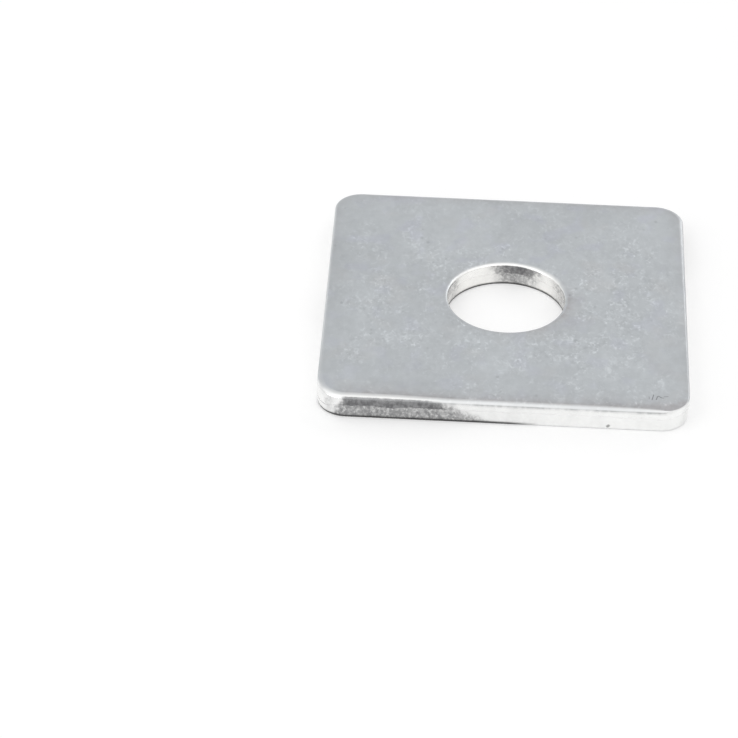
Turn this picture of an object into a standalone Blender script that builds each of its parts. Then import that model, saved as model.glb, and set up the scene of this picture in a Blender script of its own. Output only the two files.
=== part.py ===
"""Square plate washer for an M12 bolt, blanked and pierced from one piece of steel sheet.

Both the outline and the hole have the section that a punch and die leave. From the top face down
that is a rolled-over edge, a straight burnished band, and a torn zone that leans away from the cut.

Units are metres and +Z is up. The origin is the centre of the hole on the bottom face.
"""

from math import cos, pi, radians, sin

import bmesh
import bpy

# Plate
SIDE = 0.0400
THICKNESS = 0.0027
CORNER_RADIUS = 0.0032

# Sheared edge of the outline
EDGE_ROLL_WIDTH = 0.00062
EDGE_ROLL_DEPTH = 0.00034
EDGE_BAND_HEIGHT = 0.00065
EDGE_TEAR_LEAN = 0.00012
EDGE_BREAK_WIDTH = 0.00016
EDGE_BREAK_HEIGHT = 0.00012

# Bolt hole, measured across its burnished band
HOLE_DIAMETER = 0.0130

# Sheared wall of the hole
HOLE_ROLL_WIDTH = 0.00034
HOLE_ROLL_DEPTH = 0.00027
HOLE_BAND_HEIGHT = 0.00090
HOLE_TEAR_LEAN = 0.00011

# Facets
CORNER_STEPS = 12
HOLE_STEPS = 128
EDGE_ROLL_STEPS = 8
HOLE_ROLL_STEPS = 6

# Finish
STEEL_COLOUR = (0.50, 0.52, 0.54, 1.0)
STEEL_ROUGHNESS = 0.42


def clear_scene():
    for thing in list(bpy.data.objects):
        bpy.data.objects.remove(thing, do_unlink=True)


def new_collection(name, is_helper=False):
    collection = bpy.data.collections.new(name)
    collection.hide_render = is_helper
    bpy.context.scene.collection.children.link(collection)
    return collection


def steel_material():
    material = bpy.data.materials.new("zinc_plated_steel")
    material.use_nodes = True
    shader = material.node_tree.nodes["Principled BSDF"]
    shader.inputs["Base Color"].default_value = STEEL_COLOUR
    shader.inputs["Roughness"].default_value = STEEL_ROUGHNESS
    shader.inputs["Metallic"].default_value = 1.0
    material.diffuse_color = STEEL_COLOUR
    return material


def rolled_edge(width, depth, steps):
    """The quarter ellipse of a rolled-over edge, as (inset, rise) from the band to the face."""
    angles = [pi / 2 * step / steps for step in range(steps + 1)]
    return [(width * (1 - cos(angle)), depth * sin(angle)) for angle in angles]


def rounded_square(side, radius, steps):
    """The corners' arcs, one after another, counter-clockwise seen from above."""
    middle = side / 2 - radius
    outline = []
    for start, sign_x, sign_y in ((0, 1, 1), (90, -1, 1), (180, -1, -1), (270, 1, -1)):
        for step in range(steps + 1):
            angle = radians(start + 90 * step / steps)
            x = sign_x * middle + radius * cos(angle)
            y = sign_y * middle + radius * sin(angle)
            outline.append((x, y))
    return outline


def inset_cap(bm, cap, section):
    """Carries a flat cap outwards along a section of (inset, rise) steps."""
    for (inset, rise), (next_inset, next_rise) in zip(section, section[1:]):
        bmesh.ops.inset_individual(
            bm,
            faces=[cap],
            thickness=next_inset - inset,
            depth=next_rise - rise,
            use_even_offset=True,
        )


def make_blank():
    """The plate before piercing: its burnished band, carried up and down along the sheared edge."""
    band_top = THICKNESS - EDGE_ROLL_DEPTH
    band_bottom = band_top - EDGE_BAND_HEIGHT
    outline = rounded_square(SIDE, CORNER_RADIUS, CORNER_STEPS)
    bm = bmesh.new()
    bottom_cap = bm.faces.new([bm.verts.new((x, y, band_bottom)) for x, y in outline])
    band = bmesh.ops.extrude_face_region(bm, geom=[bottom_cap], use_keep_orig=True)
    top_cap = next(item for item in band["geom"] if isinstance(item, bmesh.types.BMFace))
    bmesh.ops.translate(bm, verts=top_cap.verts, vec=(0, 0, EDGE_BAND_HEIGHT))
    bmesh.ops.recalc_face_normals(bm, faces=bm.faces)

    inset_cap(bm, top_cap, rolled_edge(EDGE_ROLL_WIDTH, EDGE_ROLL_DEPTH, EDGE_ROLL_STEPS))
    torn_zone = (EDGE_TEAR_LEAN, band_bottom - EDGE_BREAK_HEIGHT)
    edge_break = (EDGE_TEAR_LEAN + EDGE_BREAK_WIDTH, band_bottom)
    inset_cap(bm, bottom_cap, [(0, 0), torn_zone, edge_break])

    mesh = bpy.data.meshes.new("square_plate_washer")
    bm.to_mesh(mesh)
    bm.free()
    return bpy.data.objects.new("square_plate_washer", mesh)


def hole_profile():
    """(radius, height) of the hole's wall, from above the plate to below it."""
    radius = HOLE_DIAMETER / 2
    overshoot = THICKNESS / 2
    band_top = THICKNESS - HOLE_ROLL_DEPTH
    wall = [
        (radius + inset, band_top + rise)
        for inset, rise in rolled_edge(HOLE_ROLL_WIDTH, HOLE_ROLL_DEPTH, HOLE_ROLL_STEPS)
    ]
    wall.reverse()
    # The round's top chord runs on past the face, so that the cut leaves the plate at an angle.
    (mouth_radius, face), (next_radius, next_height) = wall[:2]
    wall[0] = (2 * mouth_radius - next_radius, 2 * face - next_height)
    wall.insert(0, (wall[0][0], THICKNESS + overshoot))
    wall.append((radius, band_top - HOLE_BAND_HEIGHT))
    lean_per_height = HOLE_TEAR_LEAN / (band_top - HOLE_BAND_HEIGHT)
    wall.append((radius + HOLE_TEAR_LEAN + lean_per_height * overshoot, -overshoot))
    return [(0, THICKNESS + overshoot), *wall, (0, -overshoot)]


def make_hole_cutter():
    profile = hole_profile()
    mesh = bpy.data.meshes.new("hole_cutter")
    chords = [(first, first + 1) for first in range(len(profile) - 1)]
    mesh.from_pydata([(radius, 0, height) for radius, height in profile], chords, [])
    cutter = bpy.data.objects.new("hole_cutter", mesh)
    turn = cutter.modifiers.new("turn", "SCREW")
    turn.axis = "Z"
    turn.angle = radians(360)
    turn.steps = HOLE_STEPS
    turn.render_steps = HOLE_STEPS
    turn.use_merge_vertices = True
    turn.merge_threshold = 0.000001
    cutter.hide_render = True
    cutter.display_type = "WIRE"
    return cutter


def pierce(plate, cutter):
    cut = plate.modifiers.new("bolt_hole", "BOOLEAN")
    cut.operation = "DIFFERENCE"
    cut.solver = "EXACT"
    cut.object = cutter


def main():
    clear_scene()
    washer_parts = new_collection("square_plate_washer")
    cutters = new_collection("cutters", is_helper=True)
    plate = make_blank()
    plate.data.materials.append(steel_material())
    washer_parts.objects.link(plate)
    cutter = make_hole_cutter()
    cutters.objects.link(cutter)
    pierce(plate, cutter)
    plate.data.shade_smooth()
    plate.data.set_sharp_from_angle(angle=radians(25))


main()
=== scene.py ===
"""Looks of the square plate washer: its sheared steel surface, a pale floor, soft light and the camera.

Lengths are metres unless a name or a comment says millimetres.
"""

from math import cos, exp, pi, radians, sin

import bpy
import numpy as np
from mathutils import Matrix, Vector, noise


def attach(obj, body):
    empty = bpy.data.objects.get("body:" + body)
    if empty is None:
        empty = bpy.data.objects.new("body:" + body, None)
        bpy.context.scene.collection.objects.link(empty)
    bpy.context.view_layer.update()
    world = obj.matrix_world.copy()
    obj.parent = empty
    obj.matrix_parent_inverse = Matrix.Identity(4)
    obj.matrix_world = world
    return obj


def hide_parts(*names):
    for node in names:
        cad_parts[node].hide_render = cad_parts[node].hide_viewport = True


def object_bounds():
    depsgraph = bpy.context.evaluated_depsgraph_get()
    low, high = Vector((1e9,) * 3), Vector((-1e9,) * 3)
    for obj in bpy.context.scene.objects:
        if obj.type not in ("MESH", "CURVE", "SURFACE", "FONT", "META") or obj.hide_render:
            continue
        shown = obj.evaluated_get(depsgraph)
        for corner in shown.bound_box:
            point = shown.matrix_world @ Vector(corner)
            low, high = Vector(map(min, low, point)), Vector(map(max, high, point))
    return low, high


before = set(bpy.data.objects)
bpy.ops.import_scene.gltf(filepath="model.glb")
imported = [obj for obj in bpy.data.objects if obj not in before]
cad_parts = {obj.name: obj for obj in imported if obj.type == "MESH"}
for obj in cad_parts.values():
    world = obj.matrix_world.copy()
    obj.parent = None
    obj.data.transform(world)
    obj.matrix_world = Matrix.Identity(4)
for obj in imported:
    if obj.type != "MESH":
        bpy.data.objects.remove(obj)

cad_low, cad_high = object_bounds()

MM = 0.001

# Plate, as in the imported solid
SIDE = cad_high.x - cad_low.x
THICKNESS = cad_high.z - cad_low.z
CORNER_RADIUS = 3.2 * MM
HOLE_RADIUS = 6.5 * MM

# Columns and rows of the mesh
AROUND = 960
ROLL_ROWS = 10
BAND_ROWS = 8
TEAR_ROWS = 14
BREAK_ROWS = 3
INNER_FACE_ROWS = 7
BOTTOM_ROWS = 6

# Camera, fitted to the plate in the photograph
IMAGE_SIDE = 738
LENS = 169.7
SENSOR = 36.0
CAMERA_PITCH = radians(35.972)
CAMERA_YAW = radians(-2.04)
CAMERA_ROLL = radians(1.456)
CAMERA_DEPTH = 9.657 * SIDE
CAMERA_CLIP = (0.01, 5)
PLATE_PIXEL_X = 506.32
PLATE_PIXEL_Y = 297.46

# Surface colours
FACE_COLOUR = (0.442, 0.464, 0.481, 1)
VIOLET = (0.988, 0.980, 1.024, 1)
WARM = (1.008, 0.990, 0.978, 1)
# Painted shade on the face beside the sheared edges, darkest along the front
EDGE_SHADE_TONE = (0.82, 0.775, 0.765, 1)
# The rollover's rubbed steel, which also paints its highlight on the side facing the front
ROLLED_RUB_AND_HIGHLIGHT_COLOUR = (0.706, 0.710, 0.706, 1)
BAND_BRIGHT = (0.950, 0.952, 0.944, 1)
TORN_BRIGHT = (0.935, 0.938, 0.930, 1)
# Inside the hole the sheared steel is brighter: painted light that lifts the hole's wall
BORE_BRIGHT = (1.000, 0.993, 0.970, 1)
# Dark patches on the walls: partly dull steel, partly painted dark reflection
BAND_DARK = (0.120, 0.120, 0.125, 1)
BAND_PATCH_PALE = (0.250, 0.250, 0.255, 1)
TORN_DARK = (0.255, 0.255, 0.260, 1)
TORN_PATCH_PALE = (0.470, 0.470, 0.470, 1)
TORN_BEAD = (0.600, 0.600, 0.595, 1)
# Painted dark reflection along the crease under the rollover
CREASE_REFLECTION_COLOUR = (0.270, 0.275, 0.280, 1)
# Painted shadow along the foot of the walls; also the colour of the dark scratches and the nick
FOOT_SHADOW_AND_MARK_COLOUR = (0.060, 0.060, 0.060, 1)

# Dark scratches and a nick, as the points that each runs through and its half width, in millimetres
DARK_SCRATCHES = [
    ([(15.90, -17.88, 2.7), (16.08, -17.00, 2.7)], 0.09),
    ([(16.35, -17.84, 2.7), (16.49, -17.29, 2.7), (16.60, -17.20, 2.7)], 0.09),
    ([(16.60, -17.20, 2.7), (16.79, -17.36, 2.7), (16.94, -17.50, 2.7)], 0.09),
    ([(16.94, -17.50, 2.7), (17.12, -17.52, 2.7)], 0.08),
    ([(17.20, -17.27, 2.7), (17.62, -17.20, 2.7)], 0.07),
    ([(15.59, -17.79, 2.7), (15.59, -17.36, 2.7)], 0.05),
]
NICK = ([(11.28, -19.92, 0.37), (11.36, -19.92, 0.46)], 0.25)
SCRATCH_DARKNESS = 0.55
NICK_DARKNESS = 0.65

# Patterns on the steel. Sizes are millimetres, and the values of a cloud lie mostly in its range.
CLOUD_RANGE = (0.3, 0.7)
SHADE_SIZE = 9
SHADE_REACH = (0.97, 1.03)
VIOLET_SIZE = 3.0
WARM_SIZE = 3.4
EDGE_SHADE_SIZE = 0.9
MARK_FIELD_SIZE = 6
MARK_GROUP_SIZE = 2.4
CRUMB_SIZE = 0.50
CRUMB_GAIN = 0.12
STROKE_GAIN = 0.23
FLECK_SIZE = 0.7
FLECK_SHARE = 0.06
FLECK_GAIN = 0.15
DENT_SIZE = 0.42
DENT_REACH = (-0.10, 0.02)
PIT_SHARE = 0.07
PIT_GAIN = 0.15
MOTTLE_SIZE = 0.34
BEAD_SIZE = 0.26
SPOT_SIZE = 0.35
SMUDGE_SIZE = 1.3
SMUDGE_REACH = (0.955, 1.0)

# Layers of grain as size, seed and reach, and of bright strokes as size, seed and width
GRAIN_LAYERS = [(2.2, 2, 0.026), (0.8, 3, 0.026)]
STROKE_LAYERS = [(1.6, 27, 0.06), (0.9, 29, 0.09)]

# Gloss, as roughness, and the relief of the fine grain
FACE_GLOSS = (0.36, 0.46)
FACE_GLOSS_SIZE = 0.8
ROLLED_GLOSS = 0.30
BAND_GLOSS = 0.24
TORN_GLOSS = 0.42
GRAIN_SIZE = 0.18
TORN_GRAIN_SIZE = 0.15
GRAIN_RELIEF = 0.012 * MM
GRAIN_SHARE = 0.25

# Light, and the lamps as name, place, size and power. Each lamp faces the washer.
WORLD_SEEN = 1.0
WORLD_LIGHT = 0.72
LAMPS = [
    ("overhead", (0, -0.05, 0.50), (0.80, 0.70), 0.65),
    ("key", (-0.30, -0.20, 0.32), (0.30, 0.30), 0.30),
    ("back_right", (0.30, 0.45, 0.33), (0.26, 0.26), 0.29),
    ("back_left", (-0.40, 0.40, 0.16), (0.26, 0.20), 0.06),
]

# Floor
FLOOR_RADIUS = 0.6
FLOOR_SIDES = 96
FLOOR_GAP = 0.01 * MM
FLOOR_COLOUR = 0.72
FLOOR_LIFT = 0.30


class Wall:
    """The sizes of one sheared wall, from the face down.

    The rollover's stations are (length along the loop, width, how bright it is, as rubbed steel and a
    painted highlight, share of its turn from which the bright sheared steel shows, which also paints
    the rollover's highlight, how dark the painted shade on the face beside it is). The band's are
    (length along the loop, height), and the painted crease reflection's and the painted foot shadow's
    (length along the loop, darkness). The patches, partly dull steel and partly painted dark
    reflection, show from dull_from to patches_to.
    """

    def __init__(
        self, stations, roll_depth, band, lean, foot, seed, dull_from, patches_to, crease, patches, foot_shadow
    ):
        self.stations = stations
        self.roll_depth = roll_depth
        self.band = band
        self.lean = lean
        self.foot_width, self.foot_height = foot
        self.seed = seed
        self.dull_from, self.patches_to = dull_from, patches_to
        self.crease = crease
        self.patches = patches
        self.foot_shadow = foot_shadow


class Patch:
    """A stretch of a wall where the sheared steel is darker, from start to end along the loop: partly
    dull steel, partly a painted dark reflection.

    Start and end are for the top of the wall, and each moves by its spread down to the foot. The
    patch sets in over the length called onset and ends over the one called softness. Its strength
    falls by the share called fade down to the foot.
    """

    def __init__(self, start, end, spreads, strength, fade=0, onset=1.0 * MM, softness=3.0 * MM):
        self.start, self.end = start, end
        self.start_spread, self.end_spread = spreads
        self.strength = strength
        self.fade = fade
        self.onset = onset
        self.softness = softness


# Lengths along the outline run from the middle of the right side, by way of the back and the left.
QUARTER = SIDE - 2 * CORNER_RADIUS + pi / 2 * CORNER_RADIUS
FRONT = 3 * QUARTER
BACK_OF_HOLE = pi / 2 * HOLE_RADIUS

EDGE = Wall(
    stations=[
        (0, 0.30 * MM, 0.45, 0.70, 0.15),
        (QUARTER - 17.0 * MM, 0.60 * MM, 0.60, 0.62, 0.50),
        (QUARTER + 17.0 * MM, 0.62 * MM, 0.60, 0.62, 0.50),
        (QUARTER + 22.0 * MM, 0.32 * MM, 0.45, 0.85, 0.30),
        (2 * QUARTER, 0.38 * MM, 0.45, 0.85, 0.15),
        (FRONT - 24.0 * MM, 0.45 * MM, 0.60, 0.80, 0.10),
        (FRONT - 22.6 * MM, 0.52 * MM, 0.75, 0.70, 0.05),
        (FRONT - 21.5 * MM, 0.72 * MM, 1.00, 0.30, 0.00),
        (FRONT - 18.8 * MM, 0.86 * MM, 1.00, 0.08, 0.10),
        (FRONT - 16.0 * MM, 0.93 * MM, 1.00, 0.35, 1.00),
        (FRONT - 11.0 * MM, 0.88 * MM, 1.00, 0.50, 1.00),
        (FRONT - 6.0 * MM, 0.70 * MM, 0.62, 0.62, 1.00),
        (FRONT + 11.0 * MM, 0.64 * MM, 0.55, 0.62, 1.00),
        (FRONT + 15.0 * MM, 0.52 * MM, 0.70, 0.58, 1.30),
        (FRONT + 16.8 * MM, 0.40 * MM, 0.80, 0.40, 2.10),
        (FRONT + 17.9 * MM, 0.08 * MM, 0.95, -0.30, 2.60),
        (FRONT + 19.8 * MM, 0.06 * MM, 0.95, -0.30, 1.90),
        (FRONT + 21.2 * MM, 0.20 * MM, 0.60, 0.40, 0.30),
    ],
    roll_depth=0.34 * MM,
    band=[
        (0, 0.65 * MM),
        (FRONT - 25.0 * MM, 0.65 * MM),
        (FRONT - 22.8 * MM, 0.95 * MM),
        (FRONT - 21.0 * MM, 1.30 * MM),
        (FRONT - 19.6 * MM, 1.38 * MM),
        (FRONT - 18.6 * MM, 1.10 * MM),
        (FRONT - 17.6 * MM, 0.65 * MM),
    ],
    lean=0.12 * MM,
    foot=(0.16 * MM, 0.12 * MM),
    seed=3,
    dull_from=0.30,
    patches_to=0.62,
    # Painted dark reflection along the crease
    crease=[
        (QUARTER, 0),
        (FRONT - 18.0 * MM, 0.2),
        (FRONT - 15.0 * MM, 0.8),
        (FRONT + 13.0 * MM, 0.8),
        (FRONT + 15.0 * MM, 0.9),
        (FRONT + 17.0 * MM, 0.9),
        (FRONT + 18.6 * MM, 0),
    ],
    # Dark patches: partly dull steel, partly painted dark reflection; the strong one at the front-left
    # is painted reflection
    patches=[
        Patch(FRONT - 17.0 * MM, FRONT - 9.3 * MM, (-1.3 * MM, 6.2 * MM), 0.92, softness=4.4 * MM),
        Patch(FRONT - 19.4 * MM, FRONT - 18.5 * MM, (0, 0), 0.34, fade=-0.2, softness=1.0 * MM),
        Patch(FRONT - 8.0 * MM, FRONT + 4.0 * MM, (0, 0), 0.15, onset=4.0 * MM, softness=8.0 * MM),
        Patch(FRONT, FRONT + 22.0 * MM, (0, 0), 0.05),
        Patch(FRONT + 19.7 * MM, FRONT + 20.2 * MM, (0, 0), 0.26, onset=0.6 * MM, softness=0.8 * MM),
        Patch(0.20 * QUARTER, 2.20 * QUARTER, (0, 0), 0.28, onset=10.0 * MM, softness=6.0 * MM),
        Patch(
            0.26 * QUARTER,
            0.40 * QUARTER,
            (-1.0 * MM, 4.0 * MM),
            0.46,
            onset=8.0 * MM,
            softness=8.0 * MM,
        ),
        Patch(
            1.05 * QUARTER,
            1.25 * QUARTER,
            (-3.0 * MM, 4.0 * MM),
            0.55,
            onset=8.0 * MM,
            softness=9.0 * MM,
        ),
        Patch(
            1.90 * QUARTER,
            2.00 * QUARTER,
            (-1.0 * MM, 3.0 * MM),
            0.48,
            onset=7.0 * MM,
            softness=7.0 * MM,
        ),
    ],
    # Painted shadow along the foot
    foot_shadow=[
        (0.20 * QUARTER, 0.50),
        (FRONT - 22.0 * MM, 0.50),
        (FRONT - 20.5 * MM, 1.00),
        (FRONT + 1.0 * MM, 1.00),
        (FRONT + 4.0 * MM, 0),
        (3.80 * QUARTER, 0),
    ],
)
BORE = Wall(
    stations=[
        (0, 0.45 * MM, 0.40, 0.62, 1.10),
        (BACK_OF_HOLE * 0.2, 0.50 * MM, 0.60, 0.34, 0.40),
        (BACK_OF_HOLE * 0.38, 0.57 * MM, 0.90, 0.08, 0.05),
        (BACK_OF_HOLE * 0.5, 0.60 * MM, 0.90, 0.00, 0.05),
        (BACK_OF_HOLE, 0.50 * MM, 0.90, 0.05, 0.05),
        (BACK_OF_HOLE * 1.3, 0.42 * MM, 1.00, 0.05, 0.15),
        (BACK_OF_HOLE * 1.7, 0.38 * MM, 0.90, 0.03, 0.15),
        (BACK_OF_HOLE * 1.8, 0.36 * MM, 0.80, 0.26, 0.10),
        (BACK_OF_HOLE * 2, 0.34 * MM, 0.70, 0.36, 0.10),
        (BACK_OF_HOLE * 3, 0.34 * MM, 0.60, 0.50, 0.30),
        (BACK_OF_HOLE * 3.6, 0.38 * MM, 0.40, 0.60, 0.90),
    ],
    roll_depth=0.27 * MM,
    band=[(0, 0.90 * MM)],
    lean=0.11 * MM,
    foot=(0.08 * MM, 0.08 * MM),
    seed=101,
    dull_from=0.45,
    patches_to=0.85,
    # Painted dark reflection along the crease
    crease=[
        (0, 0.40),
        (BACK_OF_HOLE * 0.3, 0),
        (BACK_OF_HOLE * 1.65, 0),
        (BACK_OF_HOLE * 1.78, 0.55),
        (BACK_OF_HOLE * 2.2, 0.55),
        (BACK_OF_HOLE * 2.4, 0),
        (BACK_OF_HOLE * 3.4, 0),
        (BACK_OF_HOLE * 3.6, 0.40),
    ],
    # Dark patches: partly dull steel, partly painted dark reflection; the strong one at the back of the
    # hole is painted reflection
    patches=[
        Patch(
            BACK_OF_HOLE - 3.9 * MM,
            BACK_OF_HOLE - 0.4 * MM,
            (0.8 * MM, -0.6 * MM),
            1.0,
            fade=0.27,
            onset=4.4 * MM,
            softness=4.0 * MM,
        ),
        Patch(-2.0 * MM, BACK_OF_HOLE * 0.26, (0, 0), 0.55, softness=4.0 * MM),
        Patch(
            BACK_OF_HOLE * 1.58,
            BACK_OF_HOLE * 1.90,
            (0, 0),
            0.50,
            onset=3.0 * MM,
            softness=3.5 * MM,
        ),
        Patch(
            BACK_OF_HOLE * 1.9,
            BACK_OF_HOLE * 3.9,
            (0, 0),
            0.25,
            onset=4.0 * MM,
            softness=4.0 * MM,
        ),
        Patch(
            BACK_OF_HOLE * 2.75,
            BACK_OF_HOLE * 2.95,
            (0, 1.0 * MM),
            0.50,
            onset=5.0 * MM,
            softness=5.0 * MM,
        ),
    ],
    # Painted shadow along the foot of the hole's wall
    foot_shadow=[(0, 1.00)],
)

# The face beside a sheared edge
FACE_DROOP = 0.02 * MM
DROOP_REACH = 1.2 * MM
EDGE_SHADE_REACH = 0.8 * MM
EDGE_FACE_INSETS = [0.04 * MM, 0.12 * MM, 0.3 * MM, 0.6 * MM, 1.0 * MM, 1.6 * MM]
BORE_FACE_INSETS = [0.1 * MM, 0.25 * MM, 0.5 * MM, 0.9 * MM]

# Unevenness of the sheared walls: how far each kind reaches, and the size of its waves
WOBBLE, WOBBLE_SIZE = 0.02 * MM, 4 * MM
DENTS, DENTS_SIZE = 0.008 * MM, 0.6 * MM
DRAG, DRAG_SIZE = 0.004 * MM, 0.22 * MM
BORDER_BAYS, BORDER_BAYS_SIZE = 0.17 * MM, 2.6 * MM
BORDER_NOTCHES, BORDER_NOTCHES_SIZE = 0.15 * MM, 0.8 * MM
BORDER_TEETH, BORDER_TEETH_SIZE = 0.12 * MM, 0.4 * MM
TEARS, TEARS_SIZE, TEARS_HEIGHT = 0.024 * MM, 0.5 * MM, 0.9 * MM
FINE_TEARS, FINE_TEARS_SIZE, FINE_TEARS_HEIGHT = 0.018 * MM, 0.25 * MM, 0.4 * MM
TORN_STEP = 0.022 * MM
PATCH_WANDER, PATCH_WANDER_SIZE, PATCH_WANDER_HEIGHT = 0.5 * MM, 0.7 * MM, 0.6 * MM
DASH_SIZE, DASH_GROUP_SIZE = 0.5 * MM, 2.6 * MM
SHINE_BORDER, SHINE_BORDER_SIZE = 0.15, 0.9 * MM


class Loop:
    """One way round the washer: where each column of the mesh stands and which way it faces."""

    def __init__(self, points, normals, lengths):
        self.points = points
        self.normals = normals
        self.lengths = lengths
        self.total = lengths[-1] + np.linalg.norm(points[0] - points[-1])

    def along(self, stations, column):
        """One column of a list of stations, each with its length first, carried round the loop."""
        lengths = [station[0] for station in stations]
        values = [station[column] for station in stations]
        return np.interp(self.lengths, lengths, values, period=self.total)

    def from_length(self, middle):
        """How far each column lies past that length, the shorter way round."""
        return (self.lengths - middle + self.total / 2) % self.total - self.total / 2

    def at(self, offset):
        """The loop's points moved outwards by an offset, which may differ from column to column."""
        return self.points + self.normals * np.reshape(offset, (-1, 1))


def outline_loop(count):
    """Columns evenly spaced along the rounded square, from the middle of the right side."""
    half_run = SIDE / 2 - CORNER_RADIUS
    arc = pi / 2 * CORNER_RADIUS
    points, normals = [], []
    for column in range(count):
        turns, along = divmod(column / count * 4 * QUARTER, QUARTER)
        if along < half_run:
            point, facing = (SIDE / 2, along), 0
        elif along < half_run + arc:
            facing = (along - half_run) / CORNER_RADIUS
            point = (
                half_run + CORNER_RADIUS * cos(facing),
                half_run + CORNER_RADIUS * sin(facing),
            )
        else:
            point, facing = (QUARTER - along, SIDE / 2), pi / 2
        turn = Matrix.Rotation(turns * pi / 2, 2)
        points.append(turn @ Vector(point))
        normals.append(turn @ Vector((cos(facing), sin(facing))))
    lengths = np.arange(count) / count * 4 * QUARTER
    return Loop(np.array(points), np.array(normals), lengths)


def hole_loop(outline):
    """Columns on the hole's band, each on the same ray from the centre as the outline's."""
    directions = outline.points / np.linalg.norm(outline.points, axis=1, keepdims=True)
    points = directions * HOLE_RADIUS
    steps = np.linalg.norm(np.roll(points, -1, axis=0) - points, axis=1)
    lengths = np.concatenate([[0], np.cumsum(steps)[:-1]])
    return Loop(points, -directions, lengths)


def ripple(loop, along_size, seed, height=0.0, height_size=MM, slant=0.0):
    """Smooth noise on a wall, about -1 to 1, that meets itself where the loop closes."""
    heights = np.broadcast_to(height, loop.lengths.shape)
    reach = loop.total / (2 * pi) / along_size
    values = np.empty(len(heights))
    for column, (length, z) in enumerate(zip(loop.lengths, heights)):
        angle = 2 * pi * (length + slant * z) / loop.total
        place = Vector((reach * cos(angle), reach * sin(angle), z / height_size + seed))
        values[column] = noise.noise(place)
    return values


def smooth_step(values, start, end):
    share = np.clip((values - start) / (end - start), 0, 1)
    return share * share * (3 - 2 * share)


def tarnish_and_reflection_on(loop, wall, heights):
    """How dark the patches on the wall are at each column, 0 to 1: partly dull steel, partly painted
    dark reflection.
    """
    depth = THICKNESS - np.broadcast_to(heights, loop.lengths.shape)
    share = depth / THICKNESS
    wander = ripple(loop, PATCH_WANDER_SIZE, wall.seed + 71, depth, PATCH_WANDER_HEIGHT)
    patch_darkness = np.zeros(len(loop.lengths))
    for patch in wall.patches:
        middle = (patch.start + patch.end) / 2
        start = patch.start + patch.start_spread * share - middle
        end = patch.end + patch.end_spread * share - middle
        aside = loop.from_length(middle) + PATCH_WANDER * wander
        inside = smooth_step(aside, start - patch.onset / 2, start + patch.onset / 2)
        past = smooth_step(aside, end, end + patch.softness)
        strength = patch.strength * (1 - patch.fade * share)
        patch_darkness = np.maximum(patch_darkness, strength * inside * (1 - past))
    return patch_darkness


def wear_and_highlight_on(loop, wall):
    """How bright the rollover is at each column, as rubbed steel and a painted highlight: most on the
    side that faces the front.
    """
    towards_front = 0.5 - 0.5 * loop.normals[:, 1]
    return loop.along(wall.stations, 2) * (0.10 + 0.90 * towards_front**3)


class Section:
    """Rows of the mesh down one wall or across one face, with the marks that the material reads."""

    # Of these marks, the shade on the face beside the edges, the dark line along the crease and the
    # dark foot are painted shade and reflection; the rollover's brightness and the walls' dark patches
    # are partly painted light
    MARKS = ("rolled", "sheared", "torn", "tarnish", "margin", "crease", "foot")

    def __init__(self):
        self.rows = []

    def add(self, points, heights, **marks):
        count = len(points)
        row = {"place": np.column_stack([points, np.broadcast_to(heights, count)])}
        for mark in self.MARKS:
            row[mark] = np.broadcast_to(marks.get(mark, 0), count)
        self.rows.append(row)


def dashes_on(loop, wall):
    """How dark the painted reflection along the crease under the rollover is at each column: dashes,
    which come in groups.
    """
    dashes = smooth_step(ripple(loop, DASH_SIZE, wall.seed + 5), -0.25, 0.25)
    groups = smooth_step(ripple(loop, DASH_GROUP_SIZE, wall.seed + 7), -0.3, 0.1)
    return (0.55 + 0.45 * dashes) * (0.50 + 0.50 * groups) * loop.along(wall.crease, 1)


def border_on(loop, wall):
    """The height at each column where the burnished band ends and the torn zone starts."""
    ragged = BORDER_BAYS * ripple(loop, BORDER_BAYS_SIZE, wall.seed + 11)
    ragged += BORDER_NOTCHES * ripple(loop, BORDER_NOTCHES_SIZE, wall.seed + 23)
    ragged += BORDER_TEETH * np.abs(ripple(loop, BORDER_TEETH_SIZE, wall.seed + 31))
    return THICKNESS - wall.roll_depth - loop.along(wall.band, 1) - ragged


def add_rollover(section, loop, wall, dashes):
    # Rubbed steel and a painted highlight on the rollover, brightest on the side facing the front
    wear_and_highlight = wear_and_highlight_on(loop, wall)
    # Painted shade on the face beside this edge
    margin = loop.along(wall.stations, 4)
    roll_width = loop.along(wall.stations, 1)
    # Where the bright sheared steel starts on the rollover, placed so that it also paints the
    # rollover's highlight
    bright_from = loop.along(wall.stations, 3)
    bright_from = bright_from - SHINE_BORDER * ripple(loop, SHINE_BORDER_SIZE, wall.seed + 9)
    wobble = WOBBLE * ripple(loop, WOBBLE_SIZE, wall.seed)
    wobble = wobble + DENTS * ripple(loop, DENTS_SIZE, wall.seed + 2)
    for row in range(ROLL_ROWS + 1):
        share = row / ROLL_ROWS
        angle = pi / 2 * share
        inset = roll_width * (1 - sin(angle))
        drop = FACE_DROOP + (wall.roll_depth - FACE_DROOP) * (1 - cos(angle))
        # Dark patches on the wall: partly dull steel, partly painted dark reflection
        dull = tarnish_and_reflection_on(loop, wall, THICKNESS - drop)
        dull = dull * smooth_step(share, wall.dull_from, wall.patches_to)
        # Painted dark reflection along the crease, near the bottom of the rollover
        creased = smooth_step(share, 0.52, 0.68) * (1 - 0.55 * smooth_step(share, 0.80, 1))
        section.add(
            loop.at(wobble * sin(2 * angle) - inset),
            THICKNESS - drop,
            rolled=wear_and_highlight * smooth_step(share, -0.25, 0.4),
            sheared=np.maximum(smooth_step(share, bright_from, 0.95), dull),
            tarnish=dull,
            margin=margin * (1 - smooth_step(share, 0, 0.4)),
            crease=dashes * creased,
        )


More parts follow.
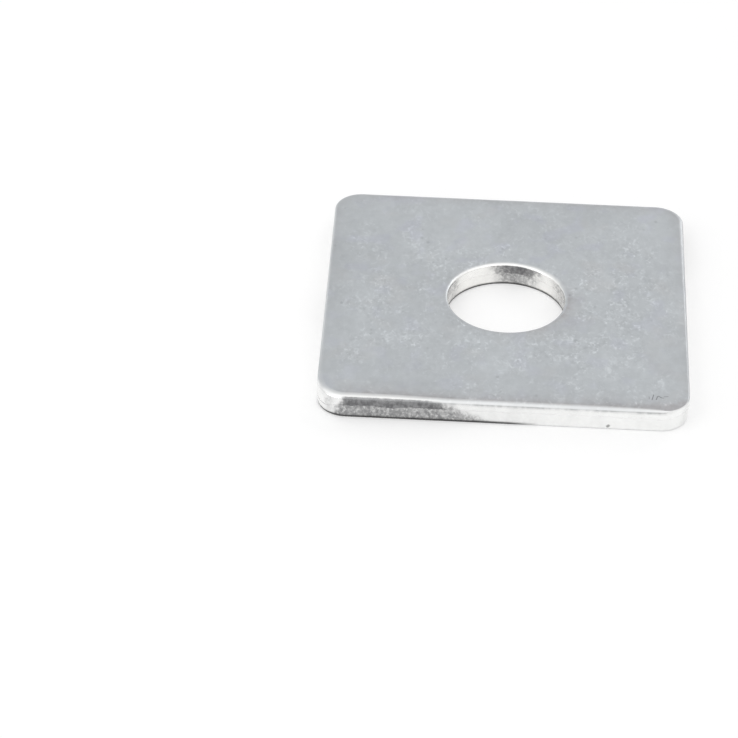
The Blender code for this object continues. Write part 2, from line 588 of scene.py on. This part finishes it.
def add_band(section, loop, wall, border, dashes):
    band_top = THICKNESS - wall.roll_depth
    drag = DRAG * ripple(loop, DRAG_SIZE, wall.seed + 41)
    for row in range(1, BAND_ROWS + 1):
        heights = band_top + (border - band_top) * row / BAND_ROWS
        # The painted crease reflection runs a little way down the band
        section.add(
            loop.at(drag),
            heights,
            rolled=1,
            sheared=1,
            tarnish=tarnish_and_reflection_on(loop, wall, heights),
            crease=0.45 * dashes * (1 - smooth_step(row, 0, 3)),
        )


def add_torn_zone(section, loop, wall, border):
    """Rows that step in from the band, roughly torn, and lean away from the cut."""
    band_top = THICKNESS - wall.roll_depth
    # Painted shadow along the foot
    foot_shadow = loop.along(wall.foot_shadow, 1)
    for row in range(1, TEAR_ROWS + 1):
        share = row / TEAR_ROWS
        heights = border + (wall.foot_height - border) * share**1.15
        level = heights.mean()
        step = TORN_STEP * min(1, row / 2)
        rough = TEARS * ripple(loop, TEARS_SIZE, wall.seed + 53, level, TEARS_HEIGHT, slant=0.5)
        rough += FINE_TEARS * ripple(
            loop, FINE_TEARS_SIZE, wall.seed + 67, level, FINE_TEARS_HEIGHT, slant=-0.3
        )
        fade = sin(pi / 2 * min(1, (1 - share) * 2 + 0.25))
        lean = wall.lean * (band_top - heights) / band_top
        offset = np.minimum(rough * fade - step * (1 - share) - lean, 0)
        section.add(
            loop.at(offset),
            heights,
            rolled=1,
            sheared=1,
            torn=1,
            tarnish=tarnish_and_reflection_on(loop, wall, heights),
            foot=foot_shadow * smooth_step(row, TEAR_ROWS - 2.5, TEAR_ROWS - 0.5),
        )


def add_bottom_break(section, loop, wall):
    # Painted shadow along the foot
    foot_shadow = loop.along(wall.foot_shadow, 1)
    for row in range(1, BREAK_ROWS + 1):
        angle = pi / 2 * row / BREAK_ROWS
        inset = wall.lean + wall.foot_width * (1 - cos(angle))
        height = wall.foot_height * (1 - sin(angle))
        bare = 1 - row / BREAK_ROWS
        section.add(loop.at(-inset), height, rolled=bare, sheared=bare, foot=foot_shadow)


def sheared_wall(loop, wall):
    """The section that punch and die leave, from the face's edge down to the bottom face."""
    section = Section()
    dashes = dashes_on(loop, wall)
    border = border_on(loop, wall)
    add_rollover(section, loop, wall, dashes)
    add_band(section, loop, wall, border, dashes)
    add_torn_zone(section, loop, wall, border)
    add_bottom_break(section, loop, wall)
    return section


def face_rim(loop, wall, insets):
    """Rows of the top face that follow a rim, where the face droops towards the sheared edge."""
    section = Section()
    roll_width = loop.along(wall.stations, 1)
    for inset in insets:
        droop = FACE_DROOP * exp(-inset / DROOP_REACH)
        # Painted shade on the face, fading away from the edge
        section.add(
            loop.at(-roll_width - inset),
            THICKNESS - droop,
            margin=loop.along(wall.stations, 4) * exp(-inset / EDGE_SHADE_REACH),
        )
    return section


def face_between(inner, outer, count):
    """Rows across a flat face between two rows that are already there."""
    section = Section()
    for row in range(1, count):
        share = row / count
        place = inner["place"] + (outer["place"] - inner["place"]) * share
        section.add(place[:, :2], place[:, 2])
    return section


def washer_rows():
    """All rows in order, up the hole's wall, across the top, down the edge and back below."""
    outline = outline_loop(AROUND)
    hole = hole_loop(outline)
    edge = sheared_wall(outline, EDGE).rows
    bore = sheared_wall(hole, BORE).rows
    edge_rim = face_rim(outline, EDGE, EDGE_FACE_INSETS).rows
    bore_rim = face_rim(hole, BORE, BORE_FACE_INSETS).rows
    top = face_between(bore_rim[-1], edge_rim[-1], INNER_FACE_ROWS).rows
    bottom = face_between(bore[-1], edge[-1], BOTTOM_ROWS).rows
    return bore[::-1] + bore_rim + top + edge_rim[::-1] + edge + bottom[::-1]


def build_washer():
    rows = washer_rows()
    faces = []
    for row in range(len(rows)):
        below = (row + 1) % len(rows)
        for column in range(AROUND):
            beside = (column + 1) % AROUND
            corners = (row, column), (below, column), (below, beside), (row, beside)
            faces.append([r * AROUND + c for r, c in corners])
    points = np.concatenate([row["place"] for row in rows])
    mesh = bpy.data.meshes.new("washer_steel")
    mesh.from_pydata(points.tolist(), [], faces)
    for mark in Section.MARKS:
        layer = mesh.attributes.new(mark, "FLOAT", "POINT")
        values = np.concatenate([row[mark] for row in rows]).astype(np.float32)
        layer.data.foreach_set("value", values)
    mesh.shade_smooth()
    washer = bpy.data.objects.new("washer_steel", mesh)
    bpy.context.scene.collection.objects.link(washer)
    return washer


class Graph:
    """Short ways to add shader nodes. A value is a number, a colour or another node's output."""

    def __init__(self, tree):
        self.nodes = tree.nodes
        self.links = tree.links
        self.nodes.clear()

    def add(self, kind, inputs=(), **settings):
        node = self.nodes.new("ShaderNode" + kind)
        for name, value in settings.items():
            setattr(node, name, value)
        for name, value in dict(inputs).items():
            if isinstance(value, bpy.types.NodeSocket):
                self.links.new(value, node.inputs[name])
            else:
                node.inputs[name].default_value = value
        return node

    def maths(self, operation, *values):
        node = self.add("Math", dict(enumerate(values)), operation=operation)
        return node.outputs[0]

    def vectors(self, operation, inputs, output="Vector"):
        return self.add("VectorMath", inputs, operation=operation).outputs[output]

    def mark(self, name):
        return self.add("Attribute", attribute_name=name).outputs["Fac"]

    def between(self, value, low, high, to_low=0.0, to_high=1.0):
        """The value's range from low to high, eased and clamped, as to_low to to_high."""
        inputs = {
            "Value": value,
            "From Min": low,
            "From Max": high,
            "To Min": to_low,
            "To Max": to_high,
        }
        return self.add("MapRange", inputs, interpolation_type="SMOOTHSTEP").outputs[0]

    def mix(self, share, first, second):
        inputs = {"Factor": share, "A": first, "B": second}
        return self.add("Mix", inputs, data_type="RGBA").outputs["Result"]

    def mix_numbers(self, share, first, second):
        inputs = {"Factor": share, "A": first, "B": second}
        return self.add("Mix", inputs, data_type="FLOAT").outputs["Result"]

    def cloud(self, place, size, seed, detail=2.0, roughness=0.5, distortion=0.0):
        """Noise with features of that size in millimetres, about 0.2 to 0.8."""
        inputs = {
            "Vector": place,
            "W": float(seed),
            "Scale": 1 / size,
            "Detail": detail,
            "Roughness": roughness,
            "Distortion": distortion,
        }
        return self.add("TexNoise", inputs, noise_dimensions="4D").outputs["Fac"]


def new_material(name):
    material = bpy.data.materials.new(name)
    material.use_nodes = True
    return material, Graph(material.node_tree)


def squiggles(graph, place, size, seed, width):
    """Short bright strokes: the contour lines of a cloud, cut into pieces by another cloud."""
    lines = graph.cloud(place, size, seed, detail=1, distortion=0.6)
    off_line = graph.maths("ABSOLUTE", graph.maths("SUBTRACT", lines, 0.5))
    stroke = graph.between(off_line, 0.0, width, 1.0, 0.0)
    pieces = graph.between(graph.cloud(place, size * 0.5, seed + 7, detail=1), 0.50, 0.66)
    return graph.maths("MULTIPLY", stroke, pieces)


def flecks(graph, place, size, seed, share):
    """Small round spots, on that share of the cells of a Voronoi pattern."""
    inputs = {"Vector": place, "Scale": 1 / size, "W": float(seed), "Randomness": 1.0}
    cells = graph.add("TexVoronoi", inputs, voronoi_dimensions="4D")
    spot = graph.between(cells.outputs["Distance"], 0.12, 0.40, 1.0, 0.0)
    parts = graph.add("SeparateColor", {"Color": cells.outputs["Color"]})
    chosen = graph.maths("LESS_THAN", parts.outputs[0], share)
    return graph.maths("MULTIPLY", spot, chosen)


def scratch(graph, place, points, width):
    """A thin line through some points on the surface: 1 on the line and 0 off it."""
    nearest = 1.0
    for start, end in zip(points, points[1:]):
        along = Vector(end) - Vector(start)
        per_length = along / along.length_squared
        from_start = graph.vectors("SUBTRACT", {0: place, 1: start})
        ahead = graph.vectors("DOT_PRODUCT", {0: from_start, 1: per_length}, "Value")
        share = graph.add("Clamp", {"Value": ahead}).outputs[0]
        foot = graph.vectors("SCALE", {0: along, "Scale": share})
        gap = graph.vectors("DISTANCE", {0: from_start, 1: foot}, "Value")
        nearest = graph.maths("MINIMUM", nearest, gap)
    return graph.between(nearest, 0.3 * width, width, 1.0, 0.0)


def dark_scratches(graph, place):
    total = 0.0
    for points, width in DARK_SCRATCHES:
        total = graph.maths("MAXIMUM", total, scratch(graph, place, points, width))
    return total


def face_tone(graph, place):
    """The plated face's brightness, about 1: soft clouds, grain, and the light marks of tumbling."""
    across = graph.vectors("DOT_PRODUCT", {0: place, 1: (1, 0, 0)}, "Value")
    depth = graph.vectors("DOT_PRODUCT", {0: place, 1: (0, 1, 0)}, "Value")
    from_middle = graph.maths("ABSOLUTE", across)
    place = graph.vectors("MULTIPLY", {0: place, 1: (1.0, 0.75, 1.0)})
    tone = graph.between(graph.cloud(place, SHADE_SIZE, 1, detail=1), *CLOUD_RANGE, *SHADE_REACH)
    tone = graph.maths("MULTIPLY", tone, graph.between(from_middle, 15.5, 19, 1.008, 0.982))
    for size, seed, reach in GRAIN_LAYERS:
        grain = graph.cloud(place, size, seed)
        layer = graph.between(grain, *CLOUD_RANGE, 1 - reach, 1 + reach)
        tone = graph.maths("MULTIPLY", tone, layer)
    field = graph.cloud(place, MARK_FIELD_SIZE, 9, detail=1)
    dense = graph.between(field, 0.36, 0.60, 0.40, 1.0)
    dense = graph.maths("MULTIPLY", dense, graph.between(depth, 8, 15, 1.0, 0.5))
    dense = graph.maths("MULTIPLY", dense, graph.between(across, -10, 10, 0.96, 1.08))
    dense = graph.maths("MULTIPLY", dense, graph.between(from_middle, 16.5, 19.3, 1.0, 0.35))
    groups = graph.cloud(place, MARK_GROUP_SIZE, 39, detail=2)
    busy = graph.maths("MULTIPLY", graph.between(groups, 0.40, 0.58, 0.28, 1.0), dense)
    crumbs = graph.cloud(place, CRUMB_SIZE, 33, detail=1, distortion=0.8)
    marks = graph.maths("MULTIPLY", graph.between(crumbs, 0.55, 0.72), CRUMB_GAIN)
    for size, seed, width in STROKE_LAYERS:
        strokes = squiggles(graph, place, size, seed, width)
        marks = graph.maths("ADD", marks, graph.maths("MULTIPLY", strokes, STROKE_GAIN))
    pale = flecks(graph, place, FLECK_SIZE, 45, FLECK_SHARE)
    marks = graph.maths("ADD", marks, graph.maths("MULTIPLY", pale, FLECK_GAIN))
    dents = graph.cloud(place, DENT_SIZE, 4, detail=1.5)
    marks = graph.maths("ADD", marks, graph.between(dents, 0.25, 0.60, *DENT_REACH))
    tone = graph.maths("ADD", tone, graph.maths("MULTIPLY", marks, busy))
    pits = flecks(graph, place, FLECK_SIZE, 57, PIT_SHARE)
    return graph.maths("SUBTRACT", tone, graph.maths("MULTIPLY", pits, PIT_GAIN))


def face_colour(graph, place, rolled, margin):
    """The plated face, violet in some places and warmer in others, with painted shade beside its edges,
    and the rollover's rubbed steel with its painted highlight.
    """
    depth = graph.vectors("DOT_PRODUCT", {0: place, 1: (0, 1, 0)}, "Value")
    tinted = graph.between(depth, -12, 14, 0.55, 0.80)
    violet = graph.between(graph.cloud(place, VIOLET_SIZE, 111, detail=1), 0.52, 0.66)
    violet = graph.maths("MULTIPLY", violet, tinted)
    warm = graph.between(graph.cloud(place, WARM_SIZE, 117, detail=1), 0.55, 0.72)
    warm = graph.maths("MULTIPLY", warm, tinted)
    hue = graph.mix(violet, (1, 1, 1, 1), VIOLET)
    hue = graph.mix(warm, hue, WARM)
    uneven = graph.between(graph.cloud(place, EDGE_SHADE_SIZE, 123), *CLOUD_RANGE, 0.6, 1.2)
    # Painted shade on the face beside the edges
    hue = graph.mix(graph.maths("MULTIPLY", margin, uneven), hue, EDGE_SHADE_TONE)
    face = graph.vectors("MULTIPLY", {0: hue, 1: FACE_COLOUR[:3]})
    face = graph.vectors("SCALE", {0: face, "Scale": face_tone(graph, place)})
    # The rollover's rubbed steel and painted highlight
    return graph.mix(rolled, face, ROLLED_RUB_AND_HIGHLIGHT_COLOUR)


def wall_colour(graph, place, streaks, torn, tarnish, crease):
    """The sheared steel: bright metal with smudges, mottled dark patches that are partly dull steel and
    partly painted dark reflection, and a painted dark reflection along the crease.
    """
    mottle = graph.between(graph.cloud(streaks, MOTTLE_SIZE, 61, detail=3), 0.36, 0.66)
    beads = graph.between(graph.cloud(streaks, BEAD_SIZE, 65, detail=2), 0.50, 0.66)
    band_dark_patch = graph.mix(mottle, BAND_DARK, BAND_PATCH_PALE)
    torn_dark_patch = graph.mix(mottle, TORN_DARK, TORN_PATCH_PALE)
    torn_dark_patch = graph.mix(beads, torn_dark_patch, TORN_BEAD)
    dull = graph.mix(torn, band_dark_patch, torn_dark_patch)
    bright = graph.mix(torn, BAND_BRIGHT, TORN_BRIGHT)
    flat_place = graph.vectors("MULTIPLY", {0: place, 1: (1, 1, 0)})
    from_centre = graph.vectors("LENGTH", {0: flat_place}, "Value")
    in_bore = graph.between(from_centre, 7.0, 9.0, 1.0, 0.0)
    # Painted light: the hole's wall is brighter than the outer wall
    bright = graph.mix(in_bore, bright, BORE_BRIGHT)
    spotty = graph.cloud(place, SPOT_SIZE, 69, detail=3)
    spotty = graph.between(spotty, *CLOUD_RANGE, -0.20, 0.20)
    spotty = graph.maths("MULTIPLY", spotty, graph.between(tarnish, 0.1, 0.6))
    spots = graph.between(graph.maths("ADD", tarnish, spotty), 0.25, 0.85)
    patch_darkness = graph.mix_numbers(0.5, tarnish, spots)
    # Dark patches: partly dull steel, partly painted dark reflection
    wall = graph.mix(patch_darkness, bright, dull)
    smudges = graph.vectors("MULTIPLY", {0: place, 1: (1.0, 1.0, 0.4)})
    smudges = graph.cloud(smudges, SMUDGE_SIZE, 73, detail=2)
    smudges = graph.between(smudges, 0.32, 0.60, *SMUDGE_REACH)
    wall = graph.vectors("SCALE", {0: wall, "Scale": smudges})
    # Painted dark reflection along the crease
    return graph.mix(crease, wall, CREASE_REFLECTION_COLOUR)


def steel_material():
    material, graph = new_material("zinc_plated_steel")
    place = graph.add("TexCoord").outputs["Object"]
    place = graph.vectors("SCALE", {0: place, "Scale": 1 / MM})
    streaks = graph.vectors("MULTIPLY", {0: place, 1: (1.0, 1.0, 0.75)})
    marks = [graph.mark(name) for name in Section.MARKS]
    rolled, sheared, torn, tarnish, margin, crease, foot = marks

    face = face_colour(graph, place, rolled, margin)
    wall = wall_colour(graph, place, streaks, torn, tarnish, crease)
    colour = graph.mix(sheared, face, wall)
    # Painted shadow along the foot of the walls
    colour = graph.mix(foot, colour, FOOT_SHADOW_AND_MARK_COLOUR)
    lines = graph.maths("MULTIPLY", dark_scratches(graph, place), SCRATCH_DARKNESS)
    colour = graph.mix(lines, colour, FOOT_SHADOW_AND_MARK_COLOUR)
    nick = graph.maths("MULTIPLY", scratch(graph, place, *NICK), NICK_DARKNESS)
    colour = graph.mix(nick, colour, FOOT_SHADOW_AND_MARK_COLOUR)

    face_gloss = graph.cloud(place, FACE_GLOSS_SIZE, 81)
    face_gloss = graph.between(face_gloss, *CLOUD_RANGE, *FACE_GLOSS)
    face_gloss = graph.mix_numbers(rolled, face_gloss, ROLLED_GLOSS)
    wall_gloss = graph.mix_numbers(torn, BAND_GLOSS, TORN_GLOSS)
    gloss = graph.mix_numbers(sheared, face_gloss, wall_gloss)

    grain = graph.cloud(place, GRAIN_SIZE, 91, detail=3)
    tears = graph.cloud(streaks, TORN_GRAIN_SIZE, 97, detail=3)
    relief = graph.mix_numbers(torn, graph.maths("MULTIPLY", grain, GRAIN_SHARE), tears)
    bump = graph.add("Bump", {"Height": relief, "Distance": GRAIN_RELIEF, "Strength": 1.0})

    shader = graph.add(
        "BsdfPrincipled",
        {
            "Base Color": colour,
            "Roughness": gloss,
            "Metallic": 1.0,
            "Normal": bump.outputs[0],
        },
    )
    graph.add("OutputMaterial", {"Surface": shader.outputs[0]})
    return material


def seen_rays(graph):
    """1 for the rays that the camera, metal and glass send out, and 0 for diffuse light."""
    path = graph.add("LightPath").outputs
    seen = graph.maths("MAXIMUM", path["Is Camera Ray"], path["Is Glossy Ray"])
    return graph.maths("MAXIMUM", seen, path["Is Transmission Ray"])


def make_floor():
    bpy.ops.mesh.primitive_circle_add(
        vertices=FLOOR_SIDES, radius=FLOOR_RADIUS, fill_type="NGON", location=(0, 0, -FLOOR_GAP)
    )
    floor = bpy.context.object
    floor.name = "floor"
    material, graph = new_material("pale_floor")
    matt = graph.add("BsdfDiffuse", {"Color": (FLOOR_COLOUR, FLOOR_COLOUR, FLOOR_COLOUR, 1)})
    glow = graph.maths("MULTIPLY", seen_rays(graph), FLOOR_LIFT)
    lift = graph.add("Emission", {"Strength": glow})
    both = graph.add("AddShader", {0: matt.outputs[0], 1: lift.outputs[0]})
    graph.add("OutputMaterial", {"Surface": both.outputs[0]})
    floor.data.materials.append(material)


def make_world():
    world = bpy.data.worlds.new("studio")
    bpy.context.scene.world = world
    world.use_nodes = True
    graph = Graph(world.node_tree)
    strength = graph.mix_numbers(seen_rays(graph), WORLD_LIGHT, WORLD_SEEN)
    background = graph.add("Background", {"Color": (1, 1, 1, 1), "Strength": strength})
    graph.add("OutputWorld", {"Surface": background.outputs[0]})


def soft_box(name, place, size, power):
    light = bpy.data.lights.new(name, "AREA")
    light.shape = "RECTANGLE"
    light.size, light.size_y = size
    light.energy = power
    box = bpy.data.objects.new(name, light)
    box.location = place
    box.rotation_mode = "QUATERNION"
    box.rotation_quaternion = (-Vector(place)).to_track_quat("-Z", "Y")
    box.visible_camera = False
    bpy.context.scene.collection.objects.link(box)


def make_camera():
    """The middle of the plate's top face falls on its pixel, seen at the fitted angles."""
    focal = LENS / SENSOR * IMAGE_SIDE
    pitch = Matrix(
        (
            (1, 0, 0),
            (0, -sin(CAMERA_PITCH), -cos(CAMERA_PITCH)),
            (0, cos(CAMERA_PITCH), -sin(CAMERA_PITCH)),
        )
    )
    looking = Matrix.Rotation(CAMERA_ROLL, 3, "Z") @ pitch @ Matrix.Rotation(CAMERA_YAW, 3, "Z")
    aside = (PLATE_PIXEL_X - IMAGE_SIDE / 2) / focal
    below = (PLATE_PIXEL_Y - IMAGE_SIDE / 2) / focal
    plate = CAMERA_DEPTH * Vector((aside, below, 1))
    right, down, forward = looking
    turn = Matrix((right, -down, -forward)).transposed()
    place = Vector((0, 0, THICKNESS)) - looking.transposed() @ plate
    camera = bpy.data.objects.new("camera", bpy.data.cameras.new("camera"))
    camera.data.lens = LENS
    camera.data.sensor_width = SENSOR
    camera.data.clip_start, camera.data.clip_end = CAMERA_CLIP
    camera.matrix_world = Matrix.Translation(place) @ turn.to_4x4()
    bpy.context.scene.collection.objects.link(camera)
    bpy.context.scene.camera = camera


washer = build_washer()
washer.data.materials.append(steel_material())
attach(washer, "root")
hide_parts("square_plate_washer")

make_floor()
make_world()
for lamp in LAMPS:
    soft_box(*lamp)
make_camera()
bpy.context.scene.view_settings.view_transform = "Standard"
